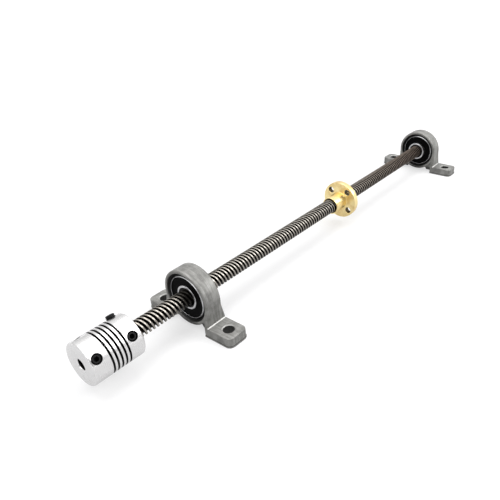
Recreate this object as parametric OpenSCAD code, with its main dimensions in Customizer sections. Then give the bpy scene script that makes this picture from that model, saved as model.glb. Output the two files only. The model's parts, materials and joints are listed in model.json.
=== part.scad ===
/* [Lead screw] */
// Overall length of the screw
screw_len = 290; // [240:5:400]
// Diameter over the crests of the thread
screw_d = 7.9; // [7.6:0.05:8]
// Distance from one ridge to the next
thread_pitch = 2; // [1.8:0.1:2.4]
// Number of threads that run side by side
thread_starts = 4; // [2:1:4]
// Depth of the grooves
thread_depth = 1.2; // [1:0.05:1.3]
// Slope of each flank from square
flank_angle = 15; // [12:1:16]
// Width of the flat crest of a ridge
crest_flat = 0.72; // [0.6:0.02:0.8]
// Straight steps in one turn of the thread
turn_steps = 8; // [7:1:8]
// Length of screw ahead of the drive block's centre
drive_overhang = 44.6; // [30:0.1:60]
// Length of screw past the support block's centre
end_overhang = 18.8; // [12:0.1:40]

/* [Flange nut] */
// Distance from the drive block to the front of the flange
nut_at = 118.4; // [40:0.2:190]
// Diameter of the flange
nut_flange_d = 22; // [20:0.5:28]
// Thickness of the flange
nut_flange_t = 3.3; // [2.5:0.1:5]
// Diameter of the hub on both sides of the flange
nut_hub_d = 10.2; // [9.8:0.1:11]
// Length of the hub ahead of the flange
nut_hub_len = 10; // [6:0.5:16]
// Length of the hub behind the flange
nut_boss_len = 1.6; // [1:0.1:4]
// Diameter of the screw holes in the flange
nut_hole_d = 3.5; // [2.5:0.1:4]
// Number of screw holes in the flange
nut_hole_count = 4; // [3:1:6]
// Diameter of the circle through the screw holes
nut_hole_circle = 16; // [15:0.2:17]
// Turn of the screw holes about the screw
nut_hole_turn = 42; // [0:1:89]
// Gap between the threads of the nut and the screw
thread_gap = 0.13; // [0.1:0.01:0.2]
// Straight steps in one turn of the nut's thread
nut_turn_steps = 24; // [20:2:30]
// Chamfer on the nut's edges
nut_chamfer = 0.4; // [0.2:0.1:0.6]

/* [Pillow blocks] */
// Height of the screw's axis above the feet
axis_h = 15; // [14.4:0.1:20]
// Outer diameter of the housing's ring
ring_d = 27.2; // [26.8:0.2:28.4]
// Width of the ring along the screw
ring_w = 8.6; // [8.4:0.1:10.4]
// Rounding on the ring's outer edges
ring_edge = 0.9; // [0.4:0.1:1.1]
// Diameter of the flared mouths of the seat
mouth_d = 24.2; // [23.6:0.1:24.6]
// Depth of the straight part of a mouth
mouth_depth = 0.6; // [0.2:0.1:1.2]
// Thickness of the upright legs
leg_t = 2; // [1.6:0.1:3]
// Distance from the end of a foot to the middle of its hole
foot_hole_edge = 6.25; // [5.5:0.05:7]
// Overall length over the two feet
foot_span = 54.5; // [50:0.5:64]
// Width of the feet along the screw
foot_w = 11.5; // [10.5:0.5:14]
// Thickness of the feet
foot_t = 4.8; // [3.5:0.1:6]
// Radius of the outer corners of the feet
foot_corner = 3; // [1:0.25:4]
// Height of the parting step on the feet
parting_h = 2; // [1.2:0.1:2.6]
// Width of the parting step on the feet
parting_step = 0.25; // [0.1:0.05:0.4]
// Diameter of the foot holes
foot_hole_d = 5.2; // [4.2:0.1:6]
// Chamfer at the top of the foot holes
foot_hole_rim = 0.5; // [0.2:0.1:0.8]
// Fillet where a leg meets its foot
crease = 0.6; // [0.3:0.1:1]

/* [Bearing inserts] */
// Diameter of the spherical outer ring
insert_d = 22; // [21.8:0.1:22.4]
// Width of the outer ring
insert_w = 7; // [6.6:0.1:7.4]
// Diameter of the inner ring
inner_d = 11.8; // [11.4:0.1:12]
// Chamfer on the bore of the inner ring, away from the collar
inner_rim = 0.9; // [0.3:0.1:1]
// Reach of the collar from the middle of the bearing
collar_reach = 6.2; // [6:0.1:9]
// Diameter of a ball
ball_d = 3.5; // [3.2:0.1:3.6]
// Number of balls in a bearing
ball_count = 8; // [6:1:9]
// Diameter of the circle through the ball centres
ball_circle = 14.6; // [14.4:0.1:14.8]
// Inner diameter of the outer ring beside its groove
shoulder_d = 17.4; // [17.1:0.1:17.6]
// Diameter of the seals
seal_d = 19.8; // [19:0.1:20]
// Thickness of the seals
seal_t = 0.8; // [0.6:0.1:0.9]
// Depth of the seals below the faces of the outer ring
seal_inset = 0.15; // [0:0.05:0.3]
// Diameter of the collar's clamping screws
collar_screw_d = 2; // [1.5:0.1:2.1]
// Length of the collar's clamping screws
collar_screw_len = 2.6; // [2:0.1:3]
// Turn of the first clamping screw about the screw
collar_screw_turn = 130; // [0:5:355]
// Angle between the two clamping screws
collar_screw_step = 120; // [60:5:180]

/* [Coupling] */
// Diameter of the coupling
coupling_d = 19; // [18:0.5:25]
// Length of the coupling
coupling_len = 22.5; // [20:0.5:30]
// Diameter of the motor-side bore
motor_bore_d = 5; // [4:0.05:6.35]
// Length of screw inside the coupling
grip_len = 11.6; // [9:0.1:12.5]
// Chamfer on the outer edges
coupling_chamfer = 0.8; // [0.3:0.1:1]
// Chamfer at the motor-side bore
motor_bore_rim = 0.45; // [0.2:0.05:0.6]
// Distance from one turn of the spiral slot to the next
slot_pitch = 1.85; // [1.6:0.05:2.3]
// Width of the spiral slot
slot_w = 0.66; // [0.5:0.02:0.8]
// Distance from the motor side to the start of the slot
slot_start = 7.05; // [6.2:0.05:7.6]
// Distance from the end of the slot to the screw side
slot_end = 6.57; // [6.3:0.01:8]
// Turn at which the slot starts
slot_turn = 10; // [0:5:355]
// Straight steps in one turn of the slot
slot_steps = 16; // [14:1:20]
// Diameter of the grub screws
grub_d = 4; // [3:0.5:4]
// Length of the grub screws
grub_len = 5; // [4:0.25:5]
// Distance from the motor side to its grub screws
motor_grub_inset = 2.9; // [2.6:0.1:4]
// Distance from the screw side to its grub screws
shaft_grub_inset = 4; // [2.6:0.1:4.2]
// Turn of the first grub screw about the axis
grub_turn = 148; // [0:2:358]
// Angle between the two grub screws of a side
grub_step = -90; // [-120:5:-60]
// Depth of a tightened grub screw below the surface
grub_sunk = 0.45; // [0.1:0.05:0.5]
// Height of the loosened grub screw above the surface
grub_proud = 1.3; // [0.5:0.1:2]

/* [Fits] */
// Gap all round between the screw and the bores on it
shaft_gap = 0.05; // [0.03:0.01:0.08]
// Gap between the outer ring and its seat
seat_gap = 0.05; // [0.03:0.01:0.08]
// Gap between a ball and its grooves
ball_gap = 0.03; // [0.02:0.01:0.05]
// Gap between a ball and its pocket in the cage
pocket_gap = 0.1; // [0.08:0.01:0.14]
// Gap between a seal's lip and the inner ring
lip_gap = 0.1; // [0.06:0.01:0.15]
// Gap round a clamping screw or grub screw in its hole
screw_gap = 0.04; // [0.02:0.01:0.06]

/* [Hidden] */
$fn = 96;
eps = 0.01;
lead = thread_pitch * thread_starts;
root_r = screw_d / 2 - thread_depth;
flank_w = thread_depth * tan(flank_angle);
bore_r = screw_d / 2 + shaft_gap;
block_span = screw_len - drive_overhang - end_overhang;
seat_r = insert_d / 2 + seat_gap;
insert_face = insert_w / 2;
seat_edge = 1.8;
seat_edge_r = sqrt(pow(seat_r, 2) - pow(seat_edge, 2));
leg_out = ring_d / 2;
leg_in = leg_out - leg_t;
foot_end = foot_span / 2;
foot_hole_y = foot_end - foot_hole_edge;
seal_out = insert_face - seal_inset;
seal_in = seal_out - seal_t;
cage_w = ball_d + 2 * pocket_gap + 0.5;
cage_t = 1.2;
collar_screw_share = 0.45;
collar_screw_x = insert_face + collar_screw_share * (collar_reach - insert_face);
coupling_x = grip_len - coupling_len - drive_overhang;
coupling_end = coupling_x + coupling_len;
motor_bore_len = coupling_len - grip_len - 0.3;
socket_share = 0.5;
slot_len = coupling_len - slot_start - slot_end;
slot_turns = slot_len / slot_pitch;
lowest_grub_r = coupling_d / 2 - grub_sunk - grub_len;

// Colours of the finishes
steel = [0.62, 0.60, 0.57];
brass = [0.80, 0.66, 0.33];
cast_zinc = [0.62, 0.62, 0.60];
ring_steel = [0.78, 0.78, 0.79];
rubber = [0.07, 0.07, 0.08];
aluminium = [0.90, 0.90, 0.91];
black_steel = [0.05, 0.05, 0.06];

// Points of an arc, from angle a to angle b
function arc(x, y, r, a, b, steps = 5) =
    [for (i = [0 : steps]) let (t = a + (b - a) * i / steps) [x + r * cos(t), y + r * sin(t)]];

// Corner points of the thread's cross-section, five for each start, grown all round by gap
function thread_points(gap = 0) = [
    for (k = [0 : thread_starts - 1])
        let (
            turn = 360 * k / thread_starts,
            crest = (crest_flat / 2 + gap) * 360 / lead,
            root = (crest_flat / 2 + flank_w + gap) * 360 / lead,
            top = screw_d / 2 + gap,
            low = root_r + gap
        )
        each [
            [low * cos(turn - root), low * sin(turn - root)],
            [top * cos(turn - crest), top * sin(turn - crest)],
            [top * cos(turn), top * sin(turn)],
            [top * cos(turn + crest), top * sin(turn + crest)],
            [low * cos(turn + root), low * sin(turn + root)]
        ]
];

// Turns the Z axis of its children to point along the screw
module along_screw(x = 0) {
    translate([x, 0, axis_h]) rotate([0, 90, 0]) children();
}

// Right-hand thread from x to x + len, in phase with the screw's own
module thread(x, len, gap, steps) {
    phase = 360 * (x + drive_overhang) / lead;
    along_screw(x)
        rotate([0, 0, phase])
            linear_extrude(
                height = len, twist = -360 * len / lead, slices = ceil(len / lead * steps), segments = 1
            )
                polygon(thread_points(gap));
}

// Radial direction at an angle about the screw, from the +Y side towards the top
module radially(x, turn) {
    translate([x, 0, axis_h]) rotate([turn, 0, 0]) rotate([-90, 0, 0]) children();
}

// Places a block's pieces, facing the nut from either end
module drive_side() {
    children();
}

module support_side() {
    translate([block_span, 0, 0]) mirror([1, 0, 0]) children();
}

// Threadless clamping screw with a hexagon socket, its tip at r from the axis
module set_screw(x, turn, d, len, r) {
    radially(x, turn)
        difference() {
            translate([0, 0, r]) cylinder(d = d - 2 * screw_gap, h = len, $fn = 48);
            translate([0, 0, r + len * 0.4])
                cylinder(d = d * socket_share, h = len, $fn = 6);
        }
}

module lead_screw() {
    color(steel) thread(-drive_overhang, screw_len, 0, turn_steps);
}

module flange_nut() {
    total = nut_hub_len + nut_flange_t + nut_boss_len;
    hub_r = nut_hub_d / 2;
    flange_r = nut_flange_d / 2;
    back = nut_hub_len + nut_flange_t;
    color(brass) difference() {
        along_screw(nut_at - nut_hub_len)
            rotate_extrude() polygon([
                [0, 0],
                [hub_r - nut_chamfer, 0],
                [hub_r, nut_chamfer],
                [hub_r, nut_hub_len],
                [flange_r - nut_chamfer, nut_hub_len],
                [flange_r, nut_hub_len + nut_chamfer],
                [flange_r, back - nut_chamfer],
                [flange_r - nut_chamfer, back],
                [hub_r, back],
                [hub_r, total - nut_chamfer],
                [hub_r - nut_chamfer, total],
                [0, total]
            ]);
        thread(nut_at - nut_hub_len - 0.5, total + 1, thread_gap, nut_turn_steps);
        for (k = [0 : nut_hole_count - 1])
            radially_spaced_hole(k);
    }
}

// One screw hole of the nut's flange
module radially_spaced_hole(k) {
    turn = nut_hole_turn + 360 * k / nut_hole_count;
    translate([
        nut_at - 1,
        nut_hole_circle / 2 * cos(turn),
        axis_h + nut_hole_circle / 2 * sin(turn)
    ])
        rotate([0, 90, 0]) cylinder(d = nut_hole_d, h = nut_flange_t + 2, $fn = 48);
}

// Outline of a foot seen from above, with its two outer corners rounded
module foot_plan(inset) {
    w = foot_w / 2 - inset;
    end = foot_end - inset;
    r = foot_corner - inset;
    translate([-w, leg_in]) square([2 * w, end - r - leg_in]);
    translate([-w + r, leg_in]) square([2 * (w - r), end - leg_in]);
    for (s = [-1, 1])
        translate([s * (w - r), end - r]) circle(r);
}

// One foot with its leg, on the +Y side
module foot_and_leg() {
    top_w = ring_w / 2 - ring_edge;
    low_w = foot_w / 2 - parting_step;
    linear_extrude(parting_h) foot_plan(0);
    linear_extrude(foot_t) foot_plan(parting_step);
    translate([0, leg_out, 0]) rotate([90, 0, 0])
        linear_extrude(leg_t) polygon([
            [-low_w, eps],
            [low_w, eps],
            [low_w, foot_t],
            [top_w, axis_h],
            [-top_w, axis_h],
            [-low_w, foot_t]
        ]);
    translate([-low_w, leg_out, foot_t]) rotate([90, 0, 90])
        linear_extrude(2 * low_w) polygon([[-eps, -eps], [crease, -eps], [-eps, crease]]);
}

module housing() {
    ring_r = ring_d / 2;
    half = ring_w / 2;
    edge = ring_edge;
    color(cast_zinc) difference() {
        union() {
            along_screw() rotate_extrude() polygon(concat(
                [[0, -half]],
                arc(ring_r - edge, edge - half, edge, -90, 0),
                arc(ring_r - edge, half - edge, edge, 0, 90),
                [[0, half]]
            ));
            foot_and_leg();
            mirror([0, 1, 0]) foot_and_leg();
        }
        translate([0, 0, axis_h]) sphere(seat_r);
        for (s = [0, 1]) mirror([s, 0, 0]) along_screw(seat_edge)
            cylinder(r1 = seat_edge_r, r2 = mouth_d / 2, h = half - seat_edge - mouth_depth + eps);
        for (s = [0, 1]) mirror([s, 0, 0]) along_screw(half - mouth_depth)
            cylinder(d = mouth_d, h = foot_w);
        for (s = [-1, 1]) translate([0, s * foot_hole_y, 0]) {
            translate([0, 0, -1]) cylinder(d = foot_hole_d, h = foot_t + 2);
            translate([0, 0, foot_t - foot_hole_rim])
                cylinder(d1 = foot_hole_d, d2 = foot_hole_d + 2 * foot_hole_rim + 0.02, h = foot_hole_rim + eps);
        }
    }
}

module outer_ring() {
    color(ring_steel) difference() {
        intersection() {
            translate([0, 0, axis_h]) sphere(insert_d / 2);
            along_screw(-insert_face) cylinder(d = insert_d + 1, h = insert_w);
        }
        along_screw(-insert_w) cylinder(d = shoulder_d, h = 2 * insert_w);
        for (s = [0, 1]) mirror([s, 0, 0]) along_screw(seal_in - 0.05)
            cylinder(d = seal_d + 0.06, h = insert_w);
        groove();
    }
}

// Torus that the balls run in
module groove() {
    along_screw() rotate_extrude() translate([ball_circle / 2, 0]) circle(ball_d / 2 + ball_gap, $fn = 64);
}

module inner_ring() {
    hole_r = collar_screw_d / 2;
    rim = 0.35;
    color(ring_steel) difference() {
        along_screw(-insert_face) rotate_extrude() polygon([
            [bore_r, inner_rim],
            [bore_r + inner_rim, 0],
            [inner_d / 2 - rim, 0],
            [inner_d / 2, rim],
            [inner_d / 2, insert_face + collar_reach - rim],
            [inner_d / 2 - rim, insert_face + collar_reach],
            [bore_r + rim, insert_face + collar_reach],
            [bore_r, insert_face + collar_reach - rim]
        ]);
        groove();
        for (k = [0, 1])
            radially(collar_screw_x, collar_screw_turn + k * collar_screw_step)
                cylinder(r = hole_r, h = inner_d, $fn = 48);
    }
}

module balls() {
    color(ring_steel) for (k = [0 : ball_count - 1])
        radially(0, 360 * k / ball_count)
            translate([0, 0, ball_circle / 2]) sphere(ball_d / 2, $fn = 48);
}

module cage() {
    color(aluminium) difference() {
        along_screw(-cage_w / 2) difference() {
            cylinder(d = ball_circle + cage_t, h = cage_w);
            translate([0, 0, -1]) cylinder(d = ball_circle - cage_t, h = cage_w + 2);
        }
        for (k = [0 : ball_count - 1])
            radially(0, 360 * k / ball_count)
                translate([0, 0, ball_circle / 2]) sphere(ball_d / 2 + pocket_gap, $fn = 48);
    }
}

// Rubber seal with a raised bead near its outer edge, on the -X side for side = -1
module seal(side) {
    lip = inner_d / 2 + lip_gap;
    rim = seal_d / 2;
    color(rubber) mirror([side < 0 ? 1 : 0, 0, 0]) along_screw(seal_in) rotate_extrude() polygon([
        [lip, 0.1],
        [lip + 0.7, 0],
        [rim, 0],
        [rim, seal_t],
        [rim - 0.5, seal_t],
        [rim - 0.9, seal_t - 0.2],
        [lip + 0.9, seal_t - 0.2],
        [lip + 0.4, seal_t],
        [lip, seal_t - 0.1]
    ]);
}

module collar_screw(k) {
    color(black_steel) set_screw(
        collar_screw_x, collar_screw_turn + k * collar_screw_step, collar_screw_d, collar_screw_len, bore_r
    );
}

module coupling_body() {
    r = coupling_d / 2;
    c = coupling_chamfer;
    color(aluminium) difference() {
        along_screw(coupling_x) rotate_extrude() polygon([
            [0, 0], [r - c, 0], [r, c], [r, coupling_len - c], [r - c, coupling_len], [0, coupling_len]
        ]);
        along_screw(coupling_x - 1) cylinder(d = motor_bore_d, h = coupling_len);
        along_screw(coupling_x - eps)
            cylinder(d1 = motor_bore_d + 2 * motor_bore_rim, d2 = motor_bore_d, h = motor_bore_rim);
        along_screw(coupling_x + motor_bore_len) cylinder(r = bore_r, h = coupling_len);
        spiral_slot();
        for (k = [0, 1]) {
            radially(coupling_x + motor_grub_inset, grub_turn + k * grub_step)
                cylinder(d = grub_d, h = coupling_d, $fn = 48);
            radially(coupling_end - shaft_grub_inset, grub_turn + k * grub_step)
                cylinder(d = grub_d, h = coupling_d, $fn = 48);
        }
    }
}

// Single right-hand slot that winds through the coupling's wall
module spiral_slot() {
    wide = 360 * slot_w / slot_pitch;
    out_r = coupling_d * 0.58;
    along_screw(coupling_x + slot_start)
        rotate([0, 0, slot_turn + 90])
            linear_extrude(
                height = slot_len, twist = -360 * slot_turns, slices = ceil(slot_turns * slot_steps), segments = 1
            )
                polygon(concat([[0, 0]], arc(0, 0, out_r, -wide / 2, wide / 2, 3)));
}

module motor_grub(k) {
    color(black_steel) set_screw(
        coupling_x + motor_grub_inset, grub_turn + k * grub_step, grub_d, grub_len, lowest_grub_r
    );
}

module shaft_grub(k, r) {
    color(black_steel) set_screw(
        coupling_end - shaft_grub_inset, grub_turn + k * grub_step, grub_d, grub_len, r
    );
}

lead_screw();
flange_nut();
drive_side() housing();  // drive_housing
drive_side() outer_ring();  // drive_outer_ring
drive_side() inner_ring();  // drive_inner_ring
drive_side() balls();  // drive_balls
drive_side() cage();  // drive_cage
drive_side() seal(-1);  // drive_motor_side_seal
drive_side() seal(1);  // drive_nut_side_seal
drive_side() collar_screw(0);  // drive_collar_screw_a
drive_side() collar_screw(1);  // drive_collar_screw_b
support_side() housing();  // support_housing
support_side() outer_ring();  // support_outer_ring
support_side() inner_ring();  // support_inner_ring
support_side() balls();  // support_balls
support_side() cage();  // support_cage
support_side() seal(-1);  // support_end_side_seal
support_side() seal(1);  // support_nut_side_seal
support_side() collar_screw(0);  // support_collar_screw_a
support_side() collar_screw(1);  // support_collar_screw_b
coupling_body();
motor_grub(0);  // motor_grub_screw_a
motor_grub(1);  // motor_grub_screw_b
shaft_grub(0, lowest_grub_r);  // shaft_grub_screw_a
shaft_grub(1, coupling_d / 2 + grub_proud - grub_len);  // shaft_grub_screw_b
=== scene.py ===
import json
import math

import bmesh
import bpy
from mathutils import Matrix, Vector


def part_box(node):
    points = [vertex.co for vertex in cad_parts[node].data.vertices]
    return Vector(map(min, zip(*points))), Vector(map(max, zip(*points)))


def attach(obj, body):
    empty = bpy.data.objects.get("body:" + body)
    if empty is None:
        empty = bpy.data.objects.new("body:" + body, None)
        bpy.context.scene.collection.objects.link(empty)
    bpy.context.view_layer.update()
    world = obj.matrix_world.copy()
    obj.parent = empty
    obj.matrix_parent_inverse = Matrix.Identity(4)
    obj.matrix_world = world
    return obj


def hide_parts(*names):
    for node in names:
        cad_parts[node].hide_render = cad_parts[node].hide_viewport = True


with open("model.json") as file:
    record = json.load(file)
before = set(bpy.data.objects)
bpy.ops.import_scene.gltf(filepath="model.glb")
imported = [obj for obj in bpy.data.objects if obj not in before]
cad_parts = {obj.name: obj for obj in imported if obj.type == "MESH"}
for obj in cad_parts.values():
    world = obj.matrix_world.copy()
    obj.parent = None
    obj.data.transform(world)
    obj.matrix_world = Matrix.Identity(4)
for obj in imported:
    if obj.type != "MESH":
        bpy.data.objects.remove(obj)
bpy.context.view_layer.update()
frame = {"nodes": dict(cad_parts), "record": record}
cadNodes = frame["nodes"]
mm = 0.001
print("frame loaded with", len(cadNodes), "nodes")

# where the photograph was taken from, in metres and radians
photoCamera = {
    "place": (-0.11937, -0.1583, 0.146748),
    "yaw": 0.66678,
    "pitch": -0.49443,
    "roll": -0.041606,
    "focalPixels": 518.031,
    "middle": (303.282, 233.177),
    "imageSide": 500,
    "sensorWidth": 36.0,
}


def makeCamera(c):
    data = bpy.data.cameras.new("camera")
    data.sensor_width = c["sensorWidth"]
    data.lens = c["focalPixels"] * c["sensorWidth"] / c["imageSide"]
    data.shift_x = 0.5 - c["middle"][0] / c["imageSide"]
    data.shift_y = c["middle"][1] / c["imageSide"] - 0.5
    data.clip_start = 0.01
    data.clip_end = 50
    level = math.cos(c["pitch"])
    ahead = Vector((level * math.cos(c["yaw"]), level * math.sin(c["yaw"]), math.sin(c["pitch"])))
    levelRight = ahead.cross(Vector((0, 0, 1))).normalized()
    levelUp = levelRight.cross(ahead)
    right = levelRight * math.cos(c["roll"]) + levelUp * math.sin(c["roll"])
    up = levelUp * math.cos(c["roll"]) - levelRight * math.sin(c["roll"])
    turn = Matrix((right, up, -ahead)).transposed()
    camera = bpy.data.objects.new("camera", data)
    camera.matrix_world = Matrix.Translation(c["place"]) @ turn.to_4x4()
    bpy.context.scene.collection.objects.link(camera)
    bpy.context.scene.camera = camera


makeCamera(photoCamera)
bpy.context.scene.view_settings.view_transform = "Standard"


class Wire:
    # an output of a node, so that node maths reads as plain expressions
    def __init__(self, nodes, socket):
        self.nodes = nodes
        self.socket = socket

    def maths(self, operation, first, second=None):
        values = {0: first} if second is None else {0: first, 1: second}
        return self.nodes.add("ShaderNodeMath", {"operation": operation}, values)

    def __add__(self, other):
        return self.maths("ADD", self, other)

    def __radd__(self, other):
        return self.maths("ADD", other, self)

    def __sub__(self, other):
        return self.maths("SUBTRACT", self, other)

    def __rsub__(self, other):
        return self.maths("SUBTRACT", other, self)

    def __mul__(self, other):
        return self.maths("MULTIPLY", self, other)

    def __rmul__(self, other):
        return self.maths("MULTIPLY", other, self)

    def __truediv__(self, other):
        return self.maths("DIVIDE", self, other)

    def __pow__(self, other):
        return self.maths("POWER", self, other)

    def __gt__(self, other):
        return self.maths("GREATER_THAN", self, other)

    def __lt__(self, other):
        return self.maths("LESS_THAN", self, other)

    def smaller(self, other):
        return self.maths("MINIMUM", self, other)

    def larger(self, other):
        return self.maths("MAXIMUM", self, other)

    def absolute(self):
        return self.maths("ABSOLUTE", self)


class Nodes:
    # a node tree, filled through the one method that adds any node
    def __init__(self, tree):
        self.tree = tree

    def add(self, kind, settings=None, values=None, output=0):
        node = self.tree.nodes.new(kind)
        for name, value in (settings or {}).items():
            setattr(node, name, value)
        for name, value in (values or {}).items():
            if isinstance(value, Wire):
                self.tree.links.new(value.socket, node.inputs[name])
            else:
                node.inputs[name].default_value = value
        return Wire(self, node.outputs[output]) if len(node.outputs) else node

    def end(self, kind, socket, value):
        # the tree's output node
        self.add(kind, values={socket: value})


print("stage: floor, backdrop and light")
stageLook = {
    "floorHalf": 12.0,
    "floorGrey": 0.42,
    "floorGlow": 0.61,
    "floorGlowFar": 0.7,
    "floorInGloss": 0.44,
    "floorInGlossFar": 2.2,
    "middle": (0.08, 0.0, 0.0),
    "skyForLight": 0.25,
    "skyInGloss": 1.08,
    "horizonShine": 0.75,
    "overheadShine": 0.35,
}
lamps = {
    "keyLamp": {"place": (0.08, 0.10, 0.80), "aim": (0.08, 0.0, 0.0), "size": (0.9, 0.6), "watts": 5.0},
    "fillLamp": {"place": (-0.55, -0.15, 0.45), "aim": (0.02, 0.0, 0.0), "size": (0.5, 0.5), "watts": 1.3},
    "rimLamp": {"place": (0.45, -0.50, 0.45), "aim": (0.1, 0.0, 0.0), "size": (0.5, 0.5), "watts": 3.4},
}


def makeFloor(look):
    mesh = bpy.data.meshes.new("floor")
    half = look["floorHalf"]
    corners = [(-half, -half, 0), (half, -half, 0), (half, half, 0), (-half, half, 0)]
    mesh.from_pydata(corners, [], [(0, 1, 2, 3)])
    floor = bpy.data.objects.new("floor", mesh)
    bpy.context.scene.collection.objects.link(floor)
    material = bpy.data.materials.new("paleFloor")
    material.use_nodes = True
    n = Nodes(material.node_tree)
    material.node_tree.nodes.clear()
    seen = n.add("ShaderNodeLightPath", output="Is Camera Ray")
    gloss = n.add("ShaderNodeLightPath", output="Is Glossy Ray")
    clear = n.add("ShaderNodeLightPath", output="Is Transmission Ray")
    grey = look["floorGrey"]
    # far from the lamps the paper glows more, so that it is white everywhere
    place = n.add("ShaderNodeTexCoord", output="Object")
    away = n.add("ShaderNodeVectorMath", {"operation": "DISTANCE"}, {0: place, 1: look["middle"]},
                 output="Value")
    far = away.smaller(1.0) ** 2
    glowing = look["floorGlow"] + look["floorGlowFar"] * far
    mirrored = look["floorInGloss"] + look["floorInGlossFar"] * far
    paint = n.add("ShaderNodeBsdfDiffuse", values={"Color": (grey, grey, grey * 1.01, 1)})
    glow = n.add("ShaderNodeEmission", values={
        "Color": (1, 1, 1, 1),
        "Strength": seen * glowing + gloss.larger(clear) * mirrored,
    })
    both = n.add("ShaderNodeAddShader", values={0: paint, 1: glow})
    n.end("ShaderNodeOutputMaterial", "Surface", both)
    mesh.materials.append(material)


def makeSky(look):
    world = bpy.data.worlds.new("studio")
    bpy.context.scene.world = world
    world.use_nodes = True
    world.node_tree.nodes.clear()
    n = Nodes(world.node_tree)
    seen = n.add("ShaderNodeLightPath", output="Is Camera Ray")
    gloss = n.add("ShaderNodeLightPath", output="Is Glossy Ray")
    ray = n.add("ShaderNodeTexCoord", output="Generated")
    height = n.add("ShaderNodeSeparateXYZ", values={0: ray}, output="Z")
    side = n.add("ShaderNodeSeparateXYZ", values={0: ray}, output="X")
    depth = n.add("ShaderNodeSeparateXYZ", values={0: ray}, output="Y")
    # softboxes overhead and to the left, a darker room behind the camera
    overhead = n.add("ShaderNodeMapRange", {"interpolation_type": "SMOOTHSTEP"},
                     {"Value": height, "From Min": 0.15, "From Max": 0.75, "To Min": 0.0, "To Max": 1.0})
    behind = side * -0.6 - depth * 0.8
    room = n.add("ShaderNodeMapRange", {"interpolation_type": "SMOOTHSTEP"},
                 {"Value": behind, "From Min": 0.35, "From Max": 0.95, "To Min": 1.0, "To Max": 0.35})
    shine = (look["horizonShine"] + overhead * look["overheadShine"]) * room * look["skyInGloss"]
    strength = seen + (1 - seen) * (gloss * shine + (1 - gloss) * look["skyForLight"])
    back = n.add("ShaderNodeBackground", values={"Color": (1, 1, 1, 1), "Strength": strength})
    n.end("ShaderNodeOutputWorld", "Surface", back)


def makeLamp(name, place, aim, size, watts):
    data = bpy.data.lights.new(name, "AREA")
    data.shape = "RECTANGLE"
    data.size = size[0]
    data.size_y = size[1]
    data.energy = watts
    lamp = bpy.data.objects.new(name, data)
    turn = (Vector(aim) - Vector(place)).to_track_quat("-Z", "Y").to_matrix().to_4x4()
    lamp.matrix_world = Matrix.Translation(place) @ turn
    bpy.context.scene.collection.objects.link(lamp)


makeFloor(stageLook)
makeSky(stageLook)
for name, lamp in lamps.items():
    makeLamp(name, **lamp)


print("materials")
finishes = {
    # screw_steel: groove is dark oil with painted shade in the thread's roots, far is partly painted shade
    # towards the far end
    "screw_steel": {"color": (0.43, 0.405, 0.365), "groove": (0.010, 0.009, 0.008),
                    "far": (0.22, 0.17, 0.14), "smear": (0.20, 0.17, 0.14), "rough": 0.24},
    "nut_brass": {"color": (0.94, 0.78, 0.40), "deep": (0.76, 0.57, 0.26), "hollow": (0.03, 0.02, 0.008),
                  "rough": 0.22},
    # cast_zinc: the lightest colour is for the painted highlight lines at the crease and the hole rims, the
    # darkest for painted shade
    "cast_zinc": {"color": (0.325, 0.323, 0.308), "dark": (0.17, 0.168, 0.159),
                  "light": (0.55, 0.55, 0.53), "wearAndHighlight": (0.85, 0.85, 0.83),
                  "shade": (0.012, 0.012, 0.011), "rough": 0.42,
                  "mouth": 12.05, "holes": 21.0, "holeEdge": 2.62, "holeRim": 2.92, "crease": (13.75, 4.95),
                  "parting": 0.9, "pocketTop": 4.5, "pocketOut": 12.2},
    "bearing_steel": {"color": (0.62, 0.62, 0.63), "dark": (0.40, 0.40, 0.41), "rough": 0.26},
    "cage_steel": {"color": (0.55, 0.55, 0.56), "dark": (0.40, 0.40, 0.41), "rough": 0.35},
    "seal_rubber": {"color": (0.004, 0.004, 0.0045), "dark": (0.002, 0.002, 0.002), "rough": 0.5},
    "turned_aluminium": {"color": (0.745, 0.74, 0.74), "dark": (0.67, 0.665, 0.665), "rough": 0.20,
                         "skin": 9.36, "holeInsets": (2.9, 4.0), "holeTurn": 148, "holeEdge": 2.2,
                         "shade": (0.01, 0.01, 0.01)},
    "black_steel": {"color": (0.007, 0.007, 0.008), "dark": (0.003, 0.003, 0.003), "rough": 0.38},
}
axisHeight = 15 * mm
support = (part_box("support_housing")[0].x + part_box("support_housing")[1].x) / 2 / mm
couplingEnds = [corner.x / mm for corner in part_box("coupling_body")]


def radial(turn):
    # outward from the screw's axis, from the left side towards the top
    angle = math.radians(turn)
    return Vector((0, math.cos(angle), math.sin(angle)))


def newMaterial(name):
    material = bpy.data.materials.new(name)
    material.use_nodes = True
    tree = material.node_tree
    tree.nodes.clear()
    shader = tree.nodes.new("ShaderNodeBsdfPrincipled")
    out = tree.nodes.new("ShaderNodeOutputMaterial")
    tree.links.new(shader.outputs[0], out.inputs["Surface"])
    return material, shader, Nodes(tree)


def plug(material, shader, **values):
    for name, value in values.items():
        socket = shader.inputs[name.replace("_", " ")]
        if isinstance(value, Wire):
            material.node_tree.links.new(value.socket, socket)
        else:
            socket.default_value = value


def roundCoordinates(n):
    # distance along the screw and from its axis, in millimetres
    place = n.add("ShaderNodeTexCoord", output="Object")
    centred = n.add("ShaderNodeMapping", values={"Vector": place, "Location": (0, 0, -axisHeight)})
    metres = n.add("ShaderNodeVectorMath", {"operation": "SCALE"}, {0: centred, "Scale": 1 / mm})
    along = n.add("ShaderNodeSeparateXYZ", values={0: metres}, output="X")
    left = n.add("ShaderNodeSeparateXYZ", values={0: metres}, output="Y")
    high = n.add("ShaderNodeSeparateXYZ", values={0: metres}, output="Z")
    radius = (left * left + high * high) ** 0.5
    return metres, along, radius


def noise(n, vector, scale, detail=3.0, rough=0.5):
    return n.add("ShaderNodeTexNoise", values={
        "Vector": vector, "Scale": scale, "Detail": detail, "Roughness": rough
    }, output="Fac")


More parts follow.
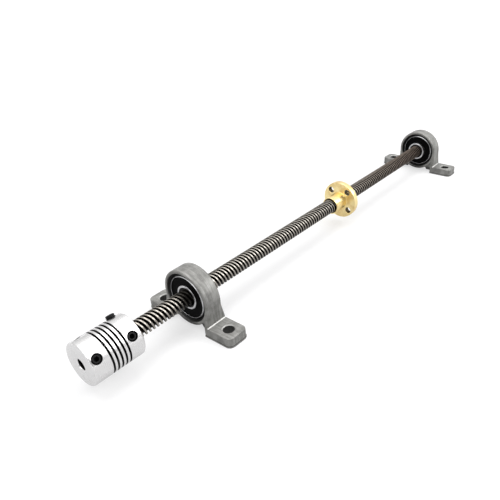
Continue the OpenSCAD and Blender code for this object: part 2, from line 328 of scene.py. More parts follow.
def blendColour(n, share, first, second):
    def paint(value):
        return value if isinstance(value, Wire) else (*value, 1)
    return n.add("ShaderNodeMix", {"data_type": "RGBA"},
                 {0: share, 6: paint(first), 7: paint(second)}, output=2)


def spread(n, value, low, high, toLow=0.0, toHigh=1.0):
    return n.add("ShaderNodeMapRange", {"interpolation_type": "SMOOTHSTEP"}, {
        "Value": value, "From Min": low, "From Max": high, "To Min": toLow, "To Max": toHigh
    })


def bump(n, height, distance, strength=1.0):
    return n.add("ShaderNodeBump", values={"Height": height, "Distance": distance, "Strength": strength})


def screwSteel(look):
    material, shader, n = newMaterial("screwSteel")
    place, along, radius = roundCoordinates(n)
    crest = spread(n, radius, 3.80, 3.94)
    smears = noise(n, place, 0.9, 4.0, 0.6)
    fine = noise(n, place, 9.0, 2.0)
    # darker and browner towards the far end: partly painted shade, partly the steel's own tint
    farShadeAndTint = spread(n, along, 60.0, 235.0)
    clean = blendColour(n, farShadeAndTint, look["color"], look["far"])
    wearAndHighlight = blendColour(n, spread(n, smears, 0.35, 0.75, 0.0, 0.45), clean, look["smear"])
    # painted reflection: the crests are darkened near the seals, where they would mirror the black seal
    paintedSealReflection = spread(n, along, -13.0, -4.0, 1.0, 0.12).larger(spread(n, along, 3.0, 6.0, 0.12, 1.0))
    lit = crest * paintedSealReflection
    # the roots and flanks take the near-black groove colour: dark oil with painted shade
    colour = blendColour(n, lit, look["groove"], wearAndHighlight)
    rough = look["rough"] + (1 - crest) * 0.28 + smears * 0.10 + fine * 0.05
    plug(material, shader, Base_Color=colour, Metallic=1.0, Roughness=rough,
         Normal=bump(n, fine + smears, 0.03 * mm, 0.5))
    return material


def nutBrass(look, shape):
    material, shader, n = newMaterial("nutBrass")
    place, along, radius = roundCoordinates(n)
    lathe = n.add("ShaderNodeCombineXYZ", values={0: along * 6.0, 1: radius * 6.0, 2: 0.0})
    rings = noise(n, lathe, 1.0, 2.0)
    clouds = noise(n, place, 0.25, 3.0)
    colour = blendColour(n, spread(n, clouds, 0.35, 0.7), look["color"], look["deep"])
    # shade inside the thread and the flange holes
    mouth = shape["mouthRadius"]
    bore = shape["holeRadius"]
    hollow = spread(n, radius, mouth - 0.35, mouth - 0.05, 1.0, 0.0)
    flat = n.add("ShaderNodeVectorMath", {"operation": "MULTIPLY"}, {0: place, 1: (0, 1, 1)})
    for hole in range(shape["holeCount"]):
        middle = radial(shape["holeTurn"] + hole * 360 / shape["holeCount"]) * shape["holeCircle"]
        apart = n.add("ShaderNodeVectorMath", {"operation": "DISTANCE"},
                      {0: flat, 1: middle}, output="Value")
        hollow = hollow.larger(spread(n, apart, bore, bore + 0.1, 0.97, 0.0))
    colour = blendColour(n, hollow, colour, look["hollow"])
    plug(material, shader, Base_Color=colour, Metallic=1.0,
         Roughness=look["rough"] + clouds * 0.12 + rings * 0.06,
         Normal=bump(n, rings, 0.02 * mm, 0.45))
    return material


def castZinc(look):
    material, shader, n = newMaterial("castZinc")
    place, along, radius = roundCoordinates(n)
    left = n.add("ShaderNodeSeparateXYZ", values={0: place}, output="Y")
    high = n.add("ShaderNodeSeparateXYZ", values={0: place}, output="Z") + axisHeight / mm
    aside = left.absolute()
    grain = noise(n, place, 3.2, 4.0, 0.65)
    clouds = noise(n, place, 0.22, 4.0, 0.6)
    flow = n.add("ShaderNodeMapping", values={"Vector": place, "Scale": (1.6, 0.12, 0.12)})
    streaks = noise(n, flow, 0.9, 4.0, 0.6)
    tone = spread(n, clouds * 0.5 + streaks * 0.5, 0.36, 0.64)
    colour = blendColour(n, tone, look["dark"], look["color"])
    speckled = blendColour(n, spread(n, grain, 0.55, 0.8, 0.0, 0.5), colour, look["light"])
    # painted shade in the seats' mouths and the foot holes, painted highlight lines round the foot holes
    # and where leg and foot meet
    shade = spread(n, radius, look["mouth"] - 0.05, look["mouth"] + 0.12, 1.0, 0.0)
    lineY, lineZ = look["crease"]
    apart = ((aside - lineY) ** 2 + (high - lineZ) ** 2) ** 0.5
    wearAndHighlight = spread(n, apart, 0.2, 0.45, 0.8, 0.0)
    edge = look["holeEdge"]
    for x in (0.0, support):
        apart = ((along - x) ** 2 + (aside - look["holes"]) ** 2) ** 0.5
        shade = shade.larger(spread(n, apart, edge, edge + 0.1, 0.85, 0.0))
        wearAndHighlight = wearAndHighlight.larger(spread(n, (apart - look["holeRim"]).absolute(), 0.08, 0.24, 0.4, 0.0))
    # darker along the lower edge of the feet and along the parting line, and painted shade in the pockets
    # under the ring
    darkLowEdge = spread(n, high, 0.1, 0.5, 0.7, 0.0)
    parting = spread(n, (high - look["parting"]).absolute(), 0.08, 0.25, 0.75, 0.0)
    below = spread(n, high, look["pocketTop"] - 2.0, look["pocketTop"], 0.85, 0.0)
    within = spread(n, aside, look["pocketOut"] - 0.6, look["pocketOut"], 1.0, 0.0)
    shade = shade.larger(darkLowEdge).larger(parting).larger(below * within)
    # the painted highlight lines go over the speckled colour
    lined = blendColour(n, wearAndHighlight, speckled, look["wearAndHighlight"])
    plug(material, shader, Base_Color=blendColour(n, shade, lined, look["shade"]), Metallic=0.35,
         Roughness=look["rough"] + grain * 0.18 - tone * 0.06,
         Normal=bump(n, grain + clouds * 0.6, 0.09 * mm, 0.55))
    return material


def groundSteel(name, look):
    material, shader, n = newMaterial(name)
    place, along, radius = roundCoordinates(n)
    lathe = n.add("ShaderNodeCombineXYZ", values={0: along * 8.0, 1: radius * 8.0, 2: 0.0})
    rings = noise(n, lathe, 1.0, 2.0)
    clouds = noise(n, place, 0.5, 3.0)
    skin = blendColour(n, spread(n, clouds, 0.35, 0.7), look["color"], look["dark"])
    # oil and shade darken the bore beside the screw
    colour = blendColour(n, spread(n, radius, 4.85, 5.1), (0.012, 0.012, 0.012), skin)
    plug(material, shader, Base_Color=colour,
         Metallic=1.0, Roughness=look["rough"] + rings * 0.10, Normal=bump(n, rings, 0.01 * mm, 0.4))
    return material


def sealRubber(look):
    material, shader, n = newMaterial("sealRubber")
    place, along, radius = roundCoordinates(n)
    dust = noise(n, place, 1.4, 5.0, 0.7)
    dusty = blendColour(n, spread(n, dust, 0.4, 0.8), look["dark"], look["color"])
    plug(material, shader, Base_Color=dusty, Specular_IOR_Level=0.03,
         Roughness=look["rough"] + dust * 0.25, Normal=bump(n, dust, 0.02 * mm, 0.4))
    return material


def turnedAluminium(look, front, end):
    material, shader, n = newMaterial("turnedAluminium")
    place, along, radius = roundCoordinates(n)
    lathe = n.add("ShaderNodeCombineXYZ", values={0: along * 7.0, 1: radius * 7.0, 2: 0.0})
    rings = noise(n, lathe, 1.0, 2.0)
    clouds = noise(n, place, 0.2, 2.0)
    # painted shade on the walls of the slot, the bores and the holes
    within = (along > front + 0.5) * (along < end - 0.5)
    inner = within * spread(n, radius, look["skin"] - 0.15, look["skin"] + 0.1, 1.0, 0.0)
    out = radial(look["holeTurn"])
    dot = {"operation": "DOT_PRODUCT"}
    height = n.add("ShaderNodeVectorMath", dot, {0: place, 1: out}, output="Value")
    across = n.add("ShaderNodeVectorMath", dot, {0: place, 1: (0, -out.z, out.y)}, output="Value")
    edge = look["holeEdge"]
    for x in (front + look["holeInsets"][0], end - look["holeInsets"][1]):
        apart = ((along - x) ** 2 + across * across) ** 0.5
        hole = spread(n, apart, edge - 0.05, edge + 0.05, 1.0, 0.0) * (height > 0)
        inner = inner.larger(hole)
    skin = blendColour(n, clouds, look["color"], look["dark"])
    plug(material, shader, Base_Color=blendColour(n, inner, skin, look["shade"]), Metallic=1.0,
         Roughness=look["rough"] + clouds * 0.08 + rings * 0.06 + inner * 0.3,
         Normal=bump(n, rings, 0.012 * mm, 0.4))
    return material


def blackSteel(look):
    material, shader, n = newMaterial("blackSteel")
    place, along, radius = roundCoordinates(n)
    wearAndHighlight = noise(n, place, 2.0, 4.0, 0.6)
    plug(material, shader, Base_Color=blendColour(n, wearAndHighlight, look["dark"], look["color"]), Metallic=0.6,
         Roughness=look["rough"] + wearAndHighlight * 0.2, Normal=bump(n, wearAndHighlight, 0.01 * mm, 0.3))
    return material


nutLook = {
    "hubRadius": 5.1,
    "hubLength": 10.0,
    "flangeRadius": 11.0,
    "flangeThick": 3.3,
    "edge": 0.3,
    "fillet": 0.35,
    "holeCircle": 8.0,
    "holeRadius": 1.75,
    "holeRim": 0.22,
    "holeTurn": 42,
    "holeCount": 4,
    "threadGap": 0.13 * mm,
    "mouthRadius": 4.7,
    "mouthDepth": 1.1,
}
materials = {
    "screw_steel": screwSteel(finishes["screw_steel"]),
    "nut_brass": nutBrass(finishes["nut_brass"], nutLook),
    "cast_zinc": castZinc(finishes["cast_zinc"]),
    "bearing_steel": groundSteel("bearingSteel", finishes["bearing_steel"]),
    "cage_steel": groundSteel("cageSteel", finishes["cage_steel"]),
    "seal_rubber": sealRubber(finishes["seal_rubber"]),
    "turned_aluminium": turnedAluminium(finishes["turned_aluminium"], *couplingEnds),
    "black_steel": blackSteel(finishes["black_steel"]),
}
slotOf = {part["node"]: part["material_slot"] for part in frame["record"]["subparts"]}
bodyOf = {node: body for body, group in frame["record"]["behaviour"]["bodies"].items() for node in group}

for node, item in cadNodes.items():
    item.data.materials.clear()
    item.data.materials.append(materials[slotOf[node]])


def linked(name, mesh):
    item = bpy.data.objects.new(name, mesh)
    bpy.context.scene.collection.objects.link(item)
    return item


def plainMesh(item):
    # bakes an object's modifiers into a mesh of its own
    shape = item.evaluated_get(bpy.context.evaluated_depsgraph_get())
    mesh = bpy.data.meshes.new_from_object(shape)
    item.modifiers.clear()
    item.data = mesh
    return item


def tidied(item, sharpAngle=32):
    # merged, facing outwards, and smooth but for its real edges
    shape = bmesh.new()
    shape.from_mesh(item.data)
    bmesh.ops.remove_doubles(shape, verts=shape.verts, dist=0.0005 * mm)
    bmesh.ops.recalc_face_normals(shape, faces=shape.faces)
    shape.to_mesh(item.data)
    shape.free()
    item.data.shade_smooth()
    item.data.set_sharp_from_angle(angle=math.radians(sharpAngle))
    return item


def standFor(item, node):
    # the piece takes over a node's place, finish and motion
    item.data.materials.clear()
    item.data.materials.append(materials[slotOf[node]])
    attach(item, bodyOf[node])
    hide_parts(node)


def cut(item, tool, join="DIFFERENCE"):
    change = item.modifiers.new("cut", "BOOLEAN")
    change.operation = join
    change.solver = "EXACT"
    change.object = tool
    plainMesh(item)
    bpy.data.objects.remove(tool)
    return item


def spun(name, outline, around=160):
    # a ring turned about the screw's axis, from a closed outline of (along, radius)
    points = []
    faces = []
    count = len(outline)
    for k in range(around):
        turn = 2 * math.pi * k / around
        points += [(x, r * math.cos(turn), axisHeight + r * math.sin(turn)) for x, r in outline]
    for k in range(around):
        here = k * count
        there = ((k + 1) % around) * count
        for i in range(count):
            j = (i + 1) % count
            faces.append((here + i, here + j, there + j, there + i))
    mesh = bpy.data.meshes.new(name)
    mesh.from_pydata(points, [], faces)
    return tidied(linked(name, mesh))


def drill(name, start, along, steps, around=48):
    # a cutter from a point along a direction, through (distance, radius) steps in millimetres
    shape = bmesh.new()
    turn = Vector(along).to_track_quat("Z", "Y").to_matrix().to_4x4()
    place = Matrix.Translation(start) @ turn
    rings = []
    angles = [2 * math.pi * k / around for k in range(around)]
    for far, radius in steps:
        corners = [Vector((radius * math.cos(a), radius * math.sin(a), far)) for a in angles]
        rings.append([shape.verts.new(place @ (corner * mm)) for corner in corners])
    shape.faces.new(rings[0])
    shape.faces.new(rings[-1])
    for near, far in zip(rings, rings[1:]):
        for k in range(around):
            j = (k + 1) % around
            shape.faces.new((near[k], near[j], far[j], far[k]))
    bmesh.ops.recalc_face_normals(shape, faces=shape.faces)
    mesh = bpy.data.meshes.new(name)
    shape.to_mesh(mesh)
    shape.free()
    return linked(name, mesh)


def twistedSweep():
    # sweeps an outline along the screw while it turns at a steady lead
    tree = bpy.data.node_groups.new("twistedSweep", "GeometryNodeTree")
    sockets = {
        "Section": "NodeSocketObject", "Rings": "NodeSocketInt", "Length": "NodeSocketFloat",
        "Lead": "NodeSocketFloat", "Start": "NodeSocketFloat", "Height": "NodeSocketFloat",
        "End Radius": "NodeSocketFloat", "Material": "NodeSocketMaterial",
    }
    for name, kind in sockets.items():
        tree.interface.new_socket(name=name, in_out="INPUT", socket_type=kind)
    tree.interface.new_socket(name="Geometry", in_out="OUTPUT", socket_type="NodeSocketGeometry")
    n = Nodes(tree)
    group = tree.nodes.new("NodeGroupInput")
    given = {name: Wire(n, group.outputs[name]) for name in sockets}
    section = n.add("GeometryNodeObjectInfo", {"transform_space": "ORIGINAL"},
                    {"Object": given["Section"]}, output="Geometry")
    count = n.add("GeometryNodeAttributeDomainSize", values={"Geometry": section}, output="Point Count")
    around = count + 1
    grid = n.add("GeometryNodeMeshGrid", values={
        "Size X": 1.0, "Size Y": 1.0, "Vertices X": given["Rings"] + 2, "Vertices Y": around
    }, output="Mesh")
    index = n.add("GeometryNodeInputIndex")
    ring = n.add("ShaderNodeMath", {"operation": "FLOOR"}, {0: (index + 0.5) / around})
    step = index - ring * around
    corner = step - (step > count - 0.5) * count
    share = ((ring - 1) / (given["Rings"] - 1)).larger(0.0).smaller(1.0)
    x = share * given["Length"]
    pole = (ring < 0.5) + (ring > given["Rings"] + 0.5)
    position = n.add("GeometryNodeInputPosition")
    outline = n.add("GeometryNodeSampleIndex", {"data_type": "FLOAT_VECTOR"},
                    {"Geometry": section, "Value": position, "Index": corner}, output="Value")
    middle = n.add("GeometryNodeAttributeStatistic", {"data_type": "FLOAT_VECTOR"},
                   {"Geometry": section, "Attribute": position}, output="Mean")
    place = n.add("ShaderNodeMix", {"data_type": "VECTOR"}, {0: pole, 4: outline, 5: middle}, output=1)
    turned = n.add("ShaderNodeVectorRotate", {"rotation_type": "X_AXIS"},
                   {"Vector": place, "Angle": x * (2 * math.pi) / given["Lead"]})
    y = n.add("ShaderNodeSeparateXYZ", values={0: turned}, output="Y")
    z = n.add("ShaderNodeSeparateXYZ", values={0: turned}, output="Z")
    radius = ((y * y + z * z) ** 0.5).larger(1e-6)
    fromEnd = x.smaller(given["Length"] - x)
    shrink = ((given["End Radius"] + fromEnd) / radius).smaller(1.0)
    moved = n.add("ShaderNodeCombineXYZ", values={
        0: given["Start"] + x, 1: y * shrink, 2: given["Height"] + z * shrink
    })
    shaped = n.add("GeometryNodeSetPosition", values={"Geometry": grid, "Position": moved})
    closed = n.add("GeometryNodeMergeByDistance", values={"Geometry": shaped, "Distance": 1e-7})
    real = n.add("GeometryNodeRealizeInstances", values={"Geometry": closed})
    painted = n.add("GeometryNodeSetMaterial", values={"Geometry": real, "Material": given["Material"]})
    n.end("NodeGroupOutput", "Geometry", painted)
    return tree


sweepTree = twistedSweep()


def swept(name, outline, settings):
    # runs the sweep on an outline of (left, up) points and returns a plain mesh
    mesh = bpy.data.meshes.new(name + "Section")
    mesh.from_pydata([(0, y, z) for y, z in outline], [], [])
    section = linked(name + "Section", mesh)
    item = linked(name, bpy.data.meshes.new(name))
    sweep = item.modifiers.new("sweep", "NODES")
    sweep.node_group = sweepTree
    values = {"Section": section, "Height": axisHeight, "End Radius": 1.0, **settings}
    for socket in sweepTree.interface.items_tree:
        if socket.in_out == "INPUT" and socket.name in values:
            sweep[socket.identifier] = values[socket.name]
    plainMesh(item)
    bpy.data.objects.remove(section)
    return tidied(item)


def threadSection(t, gap=0.0):
    # one turn of ridges, with a small break on each crest edge and a fillet in each root
    lead = t["pitch"] * t["starts"]
    top = t["crestRadius"] + gap
    low = t["rootRadius"] + gap
    crest = t["crestFlat"] / 2 + gap
    root = crest + (t["crestRadius"] - t["rootRadius"]) * math.tan(math.radians(t["flankAngle"]))
    soft = t["softening"]
    rise = [
        (-root - soft, low), (-root + soft * 0.4, low + soft), (-crest - soft * 0.3, top - soft),
        (-crest + soft, top), (0, top),
    ]
    profile = rise + [(-x, r) for x, r in reversed(rise[:-1])]
    points = []
    for k in range(t["starts"]):
        for x, r in profile:
            turn = 2 * math.pi * (k / t["starts"] + x / lead)
            points.append((r * math.sin(turn + math.pi / 2), -r * math.cos(turn + math.pi / 2)))
    return points


print("lead screw")
leadThread = {
    "pitch": 2.0 * mm,
    "starts": 4,
    "crestRadius": 3.95 * mm,
    "rootRadius": 2.75 * mm,
    "crestFlat": 0.72 * mm,
    "flankAngle": 15,
    "softening": 0.07 * mm,
    "ringsPerTurn": 44,
    "endChamfer": 0.9 * mm,
}


def leadScrew(t):
    low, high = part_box("lead_screw")
    length = high.x - low.x
    lead = t["pitch"] * t["starts"]
    screw = swept("leadScrew", threadSection(t), {
        "Rings": int(length / lead * t["ringsPerTurn"]),
        "Length": length,
        "Lead": lead,
        "Start": low.x,
        "End Radius": t["crestRadius"] - t["endChamfer"],
    })
    standFor(screw, "lead_screw")
    return screw


leadScrew(leadThread)


def rounded(corners, steps=4):
    # a closed outline in metres from (along, radius, rounding) corners in millimetres
    points = []
    count = len(corners)
    for k, (x, y, soft) in enumerate(corners):
        here = Vector((x, y))
        if soft <= 0:
            points.append(here)
            continue
        back = Vector(corners[k - 1][:2]) - here
        ahead = Vector(corners[(k + 1) % count][:2]) - here
        start = here + back.normalized() * min(soft, back.length * 0.49)
        end = here + ahead.normalized() * min(soft, ahead.length * 0.49)
        for i in range(steps + 1):
            t = i / steps
            points.append(start * (1 - t) ** 2 + here * 2 * t * (1 - t) + end * t ** 2)
    return [(point.x * mm, point.y * mm) for point in points]


def bowl(middle, size, low, high, steps, outward=1):
    # (along, radius, 0) corners on a circle about (0, middle), from one distance along to another
    places = [low + (high - low) * k / steps for k in range(steps + 1)]
    return [(x, middle + outward * math.sqrt(size ** 2 - x ** 2), 0) for x in places]


def onAxis(x):
    return Vector((x * mm, 0, axisHeight))


print("flange nut")


def flangeNut(look, t):
    low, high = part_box("flange_nut")
    start = low.x / mm
    end = high.x / mm
    front = start + look["hubLength"]
    back = front + look["flangeThick"]
    hub = look["hubRadius"]
    edge = look["edge"]
    pilot = t["rootRadius"] / mm - 0.2
    mouth = look["mouthRadius"]
    nut = spun("flangeNut", rounded([
        (start, mouth, 0.1), (start, hub, edge), (front, hub, look["fillet"]),
        (front, look["flangeRadius"], edge), (back, look["flangeRadius"], edge),
        (back, hub, look["fillet"]), (end, hub, edge), (end, mouth - 0.3, 0.1),
        (end - look["mouthDepth"], pilot, 0), (start + look["mouthDepth"], pilot, 0),
    ]))
    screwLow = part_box("lead_screw")[0].x
    lead = t["pitch"] * t["starts"]
    begin = screwLow + math.floor((low.x - screwLow) / lead) * lead
    length = high.x + 1.5 * mm - begin
    cutter = swept("nutThread", threadSection(t, look["threadGap"]), {
        "Rings": int(length / lead * t["ringsPerTurn"]), "Length": length, "Lead": lead, "Start": begin,
    })
    cut(nut, cutter)
    for k in range(look["holeCount"]):
        out = radial(look["holeTurn"] + 360 * k / look["holeCount"]) * look["holeCircle"] * mm
        bore = look["holeRadius"]
        rim = look["holeRim"]
        thick = look["flangeThick"]
        cut(nut, drill("hole", onAxis(front) + out, (1, 0, 0), [
            (-1, bore + rim + 1), (rim, bore), (thick - rim, bore), (thick + 1, bore + rim + 1)
        ]))
    tidied(nut)
    standFor(nut, "flange_nut")


flangeNut(nutLook, leadThread)


print("coupling")
couplingLook = {
    "radius": 9.5,
    "edge": 0.45,
    "motorBore": 2.5,
    "motorRim": 0.45,
    "shaftBore": 4.0,
    "boreChange": 10.6,
    "slotStart": 7.05,
    "slotEnd": 6.57,
    "slotPitch": 1.85,
    "slotWidth": 0.9,
    "slotTurn": 10,
    "slotReach": 11.0,
    "ringsPerTurn": 60,
    "grubTurns": (148, 58),
    "grubInsets": (2.9, 4.0),
    "grubRadius": 2.0,
    "grubRim": 0.2,
    "grubStart": 1.37,
    "grubSunk": 0.45,
    "grubProud": 1.3,
}


def coupling(look):
    front, end = couplingEnds
    radius = look["radius"]
    edge = look["edge"]
    change = front + look["boreChange"]
    body = spun("couplingBody", rounded([
        (front, look["motorBore"] + look["motorRim"], 0.1), (front, radius - edge, 0.25),
        (front + edge, radius, 0.25), (end - edge, radius, 0.25), (end, radius - edge, 0.25),
        (end, look["shaftBore"] + 0.4, 0.1), (end - 0.4, look["shaftBore"], 0),
        (change, look["shaftBore"], 0), (change, look["motorBore"], 0),
        (front + look["motorRim"], look["motorBore"], 0.1),
    ]), 192)
    wide = math.radians(360 * look["slotWidth"] / look["slotPitch"])
    first = math.radians(look["slotTurn"])
    arc = [first - wide / 2 + wide * k / 24 for k in range(25)]
    reach = look["slotReach"] * mm
    length = (end - front - look["slotStart"] - look["slotEnd"]) * mm
    slot = swept("slot", [(0, 0)] + [(reach * math.cos(a), reach * math.sin(a)) for a in arc], {
        "Rings": int(length / look["slotPitch"] / mm * look["ringsPerTurn"]), "Length": length,
        "Lead": look["slotPitch"] * mm, "Start": (front + look["slotStart"]) * mm,
    })
    cut(body, slot)
    bore = look["grubRadius"]
    rim = look["grubRim"]
    for turn in look["grubTurns"]:
        for x in (front + look["grubInsets"][0], end - look["grubInsets"][1]):
            cut(body, drill("grubHole", onAxis(x), radial(turn), [
                (look["grubStart"], bore), (radius - rim - 0.12, bore), (radius + 1, bore + rim + 1)
            ]))
    tidied(body, 28)
    standFor(body, "coupling_body")


coupling(couplingLook)


print("grub and collar screws")
grubLook = {
    "radius": 1.96,
    "rootShare": 0.86,
    "pitch": 0.7,
    "length": 5.0,
    "socketFlat": 2.0,
    "socketDepth": 2.6,
    "ringsPerTurn": 20,
}
collarScrewLook = {
    "radius": 0.96,
    "rootShare": 0.84,
    "pitch": 0.4,
    "length": 2.6,
    "socketFlat": 1.0,
    "socketDepth": 1.3,
    "ringsPerTurn": 16,
}


def setScrew(node, look, x, turn, tip):
    # a headless screw with a hexagon socket, its tip at a radius from the lead screw's axis
    crest = look["radius"] * mm
    root = crest * look["rootShare"]
    outline = []
    corners = 28
    for k in range(corners):
        share = abs(2 * k / corners - 1)
        radius = root + (crest - root) * min(1.0, max(0.0, share * 1.7 - 0.35))
        angle = 2 * math.pi * k / corners
        outline.append((radius * math.cos(angle), radius * math.sin(angle)))
    length = look["length"] * mm
    body = swept(node + "Thread", outline, {
        "Rings": int(look["length"] / look["pitch"] * look["ringsPerTurn"]), "Length": length,
        "Lead": look["pitch"] * mm, "Start": 0.0, "Height": 0.0, "End Radius": root * 0.92,
    })
    depth = look["socketDepth"] * mm
    corner = look["socketFlat"] / math.sqrt(3)
    socket = [(0, corner), (depth / mm + 1, corner)]
    cut(body, drill("socket", (length - depth, 0, 0), (1, 0, 0), socket, 6))
    out = radial(turn)
    upright = out.to_track_quat("X", "Z").to_matrix().to_4x4()
    body.data.transform(Matrix.Translation(onAxis(x) + out * tip * mm) @ upright)
    tidied(body)
    standFor(body, node)


def couplingScrews(look):
    front, end = couplingEnds
    for node, x, turn in (
        ("motor_grub_screw_a", front + look["grubInsets"][0], look["grubTurns"][0]),
        ("motor_grub_screw_b", front + look["grubInsets"][0], look["grubTurns"][1]),
        ("shaft_grub_screw_a", end - look["grubInsets"][1], look["grubTurns"][0]),
    ):
        setScrew(node, grubLook, x, turn, look["radius"] - look["grubSunk"] - grubLook["length"])
    setScrew("shaft_grub_screw_b", grubLook, end - look["grubInsets"][1], look["grubTurns"][1],
             look["radius"] + look["grubProud"] - grubLook["length"])


couplingScrews(couplingLook)


print("bearing inserts")
insertLook = {
    "sphere": 11.0,
    "face": 3.5,
    "shoulder": 8.7,
    "sealSeat": 10.12,
    "sealFloor": 2.5,
    "ballCircle": 7.3,
    "groove": 1.78,
    "innerRadius": 5.9,
    "bore": 4.0,
    "boreRim": 0.9,
    "collarRim": 0.55,
    "collarEnd": 6.2,
    "collarScrewAt": 4.715,
    "collarScrewTurns": (130, 250),
    "collarHole": 1.0,
    "sealOut": 3.35,
    "sealIn": 2.55,
    "sealLip": 6.0,
    "sealRadius": 10.1,
}


def sided(outline, side):
    # an insert's outline for the drive block, or turned round for the support block
    return outline if side > 0 else [(support * mm - x, r) for x, r in outline]


def sideX(x, side):
    return x if side > 0 else support - x


def outerRing(look, name, side):
    face = look["face"]
    groove = bowl(look["ballCircle"], look["groove"], 1.1, -1.1, 12)
    seat = look["sealSeat"]
    inside = [
        (face, seat, 0.12), (look["sealFloor"], seat, 0), (look["sealFloor"], look["shoulder"], 0.1),
        *groove,
        (-look["sealFloor"], look["shoulder"], 0.1), (-look["sealFloor"], seat, 0), (-face, seat, 0.12),
    ]
    across = face - 0.22
    outside = bowl(0, look["sphere"], -across, across, 18)
    corner = math.sqrt(look["sphere"] ** 2 - face ** 2) - 0.2
    outline = rounded(inside + [(-face, corner, 0)] + outside + [(face, corner, 0)])
    return spun(name, sided(outline, side))


def innerRing(look, name, side):
    face = look["face"]
    outer = look["innerRadius"]
    bore = look["bore"]
    end = look["collarEnd"]
    groove = bowl(look["ballCircle"], look["groove"], -1.1, 1.1, 12, -1)
    ring = spun(name, sided(rounded([
        (-face, bore + look["boreRim"], 0.12), (-face, outer, 0.3), *groove, (end, outer, 0.3),
        (end, bore + look["collarRim"], 0.12), (end - look["collarRim"], bore, 0),
        (look["boreRim"] - face, bore, 0),
    ]), side))
    for turn in look["collarScrewTurns"]:
        out = radial(turn)
        start = onAxis(sideX(look["collarScrewAt"], side)) + out * mm
        cut(ring, drill("collarHole", start, out, [(0, look["collarHole"]), (8, look["collarHole"])], 32))
    return tidied(ring)


def seal(look, name, side, face):
    # a moulded seal with a lip, a dished middle and a bead near its rim
    out = look["sealOut"]
    floor = look["sealIn"]
    lip = look["sealLip"]
    rim = look["sealRadius"]
    outline = rounded([
        (floor, lip + 0.7, 0), (floor, rim, 0.1), (out - 0.02, rim, 0.18), (out, rim - 0.45, 0.2),
        (out - 0.2, rim - 0.8, 0.2), (out - 0.26, lip + 1.5, 0.3), (out - 0.14, lip + 0.95, 0.15),
        (out, lip + 0.5, 0.15), (out - 0.1, lip, 0.06), (floor + 0.1, lip, 0),
    ])
    return spun(name, sided([(x * face, r) for x, r in outline], side))


def insert(look, block, side, faces):
    standFor(outerRing(look, block + "OuterRing", side), block + "_outer_ring")
    standFor(innerRing(look, block + "InnerRing", side), block + "_inner_ring")
    for node, face in faces.items():
        standFor(seal(look, node + "Moulding", side, face), node)
    for letter, turn in zip("ab", look["collarScrewTurns"]):
        node = block + "_collar_screw_" + letter
        setScrew(node, collarScrewLook, sideX(look["collarScrewAt"], side), turn, look["bore"])


insert(insertLook, "drive", 1, {"drive_motor_side_seal": -1, "drive_nut_side_seal": 1})
insert(insertLook, "support", -1, {"support_end_side_seal": -1, "support_nut_side_seal": 1})


print("housings")
housingLook = {
    "ringRadius": 13.65,
    "halfWidth": 4.35,
    "ringEdge": 0.75,
    "seat": 11.05,
    "seatEdge": 1.8,
    "mouthRadius": 12.1,
    "mouthDepth": 0.6,
    "mouthRim": 0.2,
    "legThick": 2.0,
    "footEnd": 27.35,
    "footHalf": 5.85,
    "footThick": 4.85,
    "footCorner": 2.8,
    "partingHeight": 0.8,
    "partingStep": 0.25,
    "holeY": 21.0,
    "holeRadius": 2.6,
    "holeRim": 0.5,
    "grid": 0.26,
    "rounds": 5,
    "webHalf": 2.6,
}


def slab(name, outline, low, high, up):
    # an outline of (across, other) points in millimetres, thickened from low to high
    shape = bmesh.new()
    # the places of (across, other, thickness) among x, y and z
    order = {"x": (2, 0, 1), "y": (0, 2, 1), "z": (0, 1, 2)}[up]
    rings = []
    for c in (low, high):
        corners = [(a, b, c) for a, b in outline]
        rings.append([shape.verts.new(Vector([corner[i] for i in order]) * mm) for corner in corners])
    shape.faces.new(rings[0])
    shape.faces.new(rings[1])
    for k in range(len(outline)):
        j = (k + 1) % len(outline)
        shape.faces.new((rings[0][k], rings[0][j], rings[1][j], rings[1][k]))
    bmesh.ops.recalc_face_normals(shape, faces=shape.faces)
    mesh = bpy.data.meshes.new(name)
    shape.to_mesh(mesh)
    shape.free()
    return linked(name, mesh)


def footPlan(look, side, inset):
    half = look["footHalf"] - inset
    end = look["footEnd"] - inset
    soft = look["footCorner"] - inset
    inner = look["ringRadius"] - look["legThick"]
    corners = [(-half, inner * side), (half, inner * side)]
    for k in range(9):
        turn = math.pi / 16 * k
        corners.append((half - soft + soft * math.cos(turn), side * (end - soft + soft * math.sin(turn))))
    for k in range(9):
        turn = math.pi / 2 + math.pi / 16 * k
        corners.append((-half + soft + soft * math.cos(turn), side * (end - soft + soft * math.sin(turn))))
    return corners


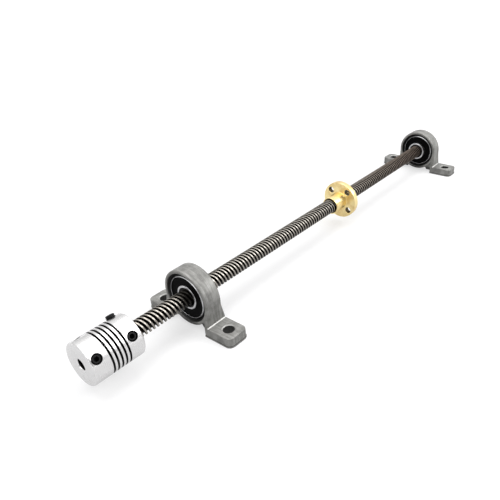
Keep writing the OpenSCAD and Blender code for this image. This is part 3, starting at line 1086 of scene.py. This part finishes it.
def housingBody(look):
    edge = look["ringEdge"]
    half = look["halfWidth"]
    ring = look["ringRadius"]
    parts = [spun("driveHousing", rounded([
        (-half, 9.0, 0), (-half, ring, edge), (half, ring, edge), (half, 9.0, 0)
    ], 6), 128)]
    foot = look["footThick"]
    low = look["footHalf"] - look["partingStep"]
    top = half - edge
    for side in (-1, 1):
        parts.append(slab("footLow", footPlan(look, side, 0), 0, look["partingHeight"], "z"))
        parts.append(slab("footTop", footPlan(look, side, look["partingStep"]), 0.5, foot, "z"))
        inner = (ring - look["legThick"]) * side
        leg = [(-low, 0.3), (low, 0.3), (low, foot), (top, 15), (-top, 15), (-low, foot)]
        parts.append(slab("leg", leg, inner, ring * side, "y"))
        # a small fillet between leg and foot, and the wall of the pocket under the ring
        fill = [
            (side * (ring - 0.5), foot - 0.5), (side * (ring + 0.4), foot - 0.5),
            (side * (ring + 0.4), foot), (side * ring, foot + 0.4), (side * (ring - 0.5), foot + 0.4),
        ]
        parts.append(slab("crease", fill, 0.3 - low, low - 0.3, "x"))
        web = [
            (inner + side * 0.3, 1.3), (inner + side * 0.3, 9.0), (side * 8.5, 5.5),
            (side * 6.5, 3.0), (side * 7.5, 1.3),
        ]
        parts.append(slab("web", web, -look["webHalf"], look["webHalf"], "x"))
    whole = parts[0]
    shape = bmesh.new()
    for part in parts:
        shape.from_mesh(part.data)
        if part is not whole:
            bpy.data.objects.remove(part)
    shape.to_mesh(whole.data)
    shape.free()
    grid = whole.modifiers.new("grid", "REMESH")
    grid.mode = "VOXEL"
    grid.voxel_size = look["grid"] * mm
    soft = whole.modifiers.new("soft", "SMOOTH")
    soft.factor = 0.5
    soft.iterations = look["rounds"]
    return plainMesh(whole)


def housings(look):
    body = housingBody(look)
    half = look["halfWidth"]
    rim = look["mouthRim"]
    mouth = look["mouthRadius"]
    deep = half - look["mouthDepth"]
    seat = bowl(0, look["seat"], look["seatEdge"], -look["seatEdge"], 16)
    cut(body, spun("seatCutter", rounded([
        (-20, 6, 0), (-20, mouth + rim, 0), (-half, mouth + rim, 0), (rim - half, mouth, 0),
        (-deep, mouth, 0), *reversed(seat), (deep, mouth, 0),
        (half - rim, mouth, 0), (half, mouth + rim, 0), (20, mouth + rim, 0), (20, 6, 0),
    ]), 160))
    foot = look["footThick"]
    bore = look["holeRadius"]
    rim = look["holeRim"]
    for side in (-1, 1):
        cut(body, drill("footHole", Vector((0, side * look["holeY"], 0)) * mm, (0, 0, 1), [
            (-1, bore), (foot - rim, bore), (foot + 1, bore + rim + 1)
        ], 64))
    tidied(body, 38)
    other = linked("supportHousing", body.data.copy())
    other.data.transform(Matrix.Translation((support * mm, 0, 0)) @ Matrix.Scale(-1, 4, (1, 0, 0)))
    tidied(other, 38)
    standFor(body, "drive_housing")
    standFor(other, "support_housing")


housings(housingLook)
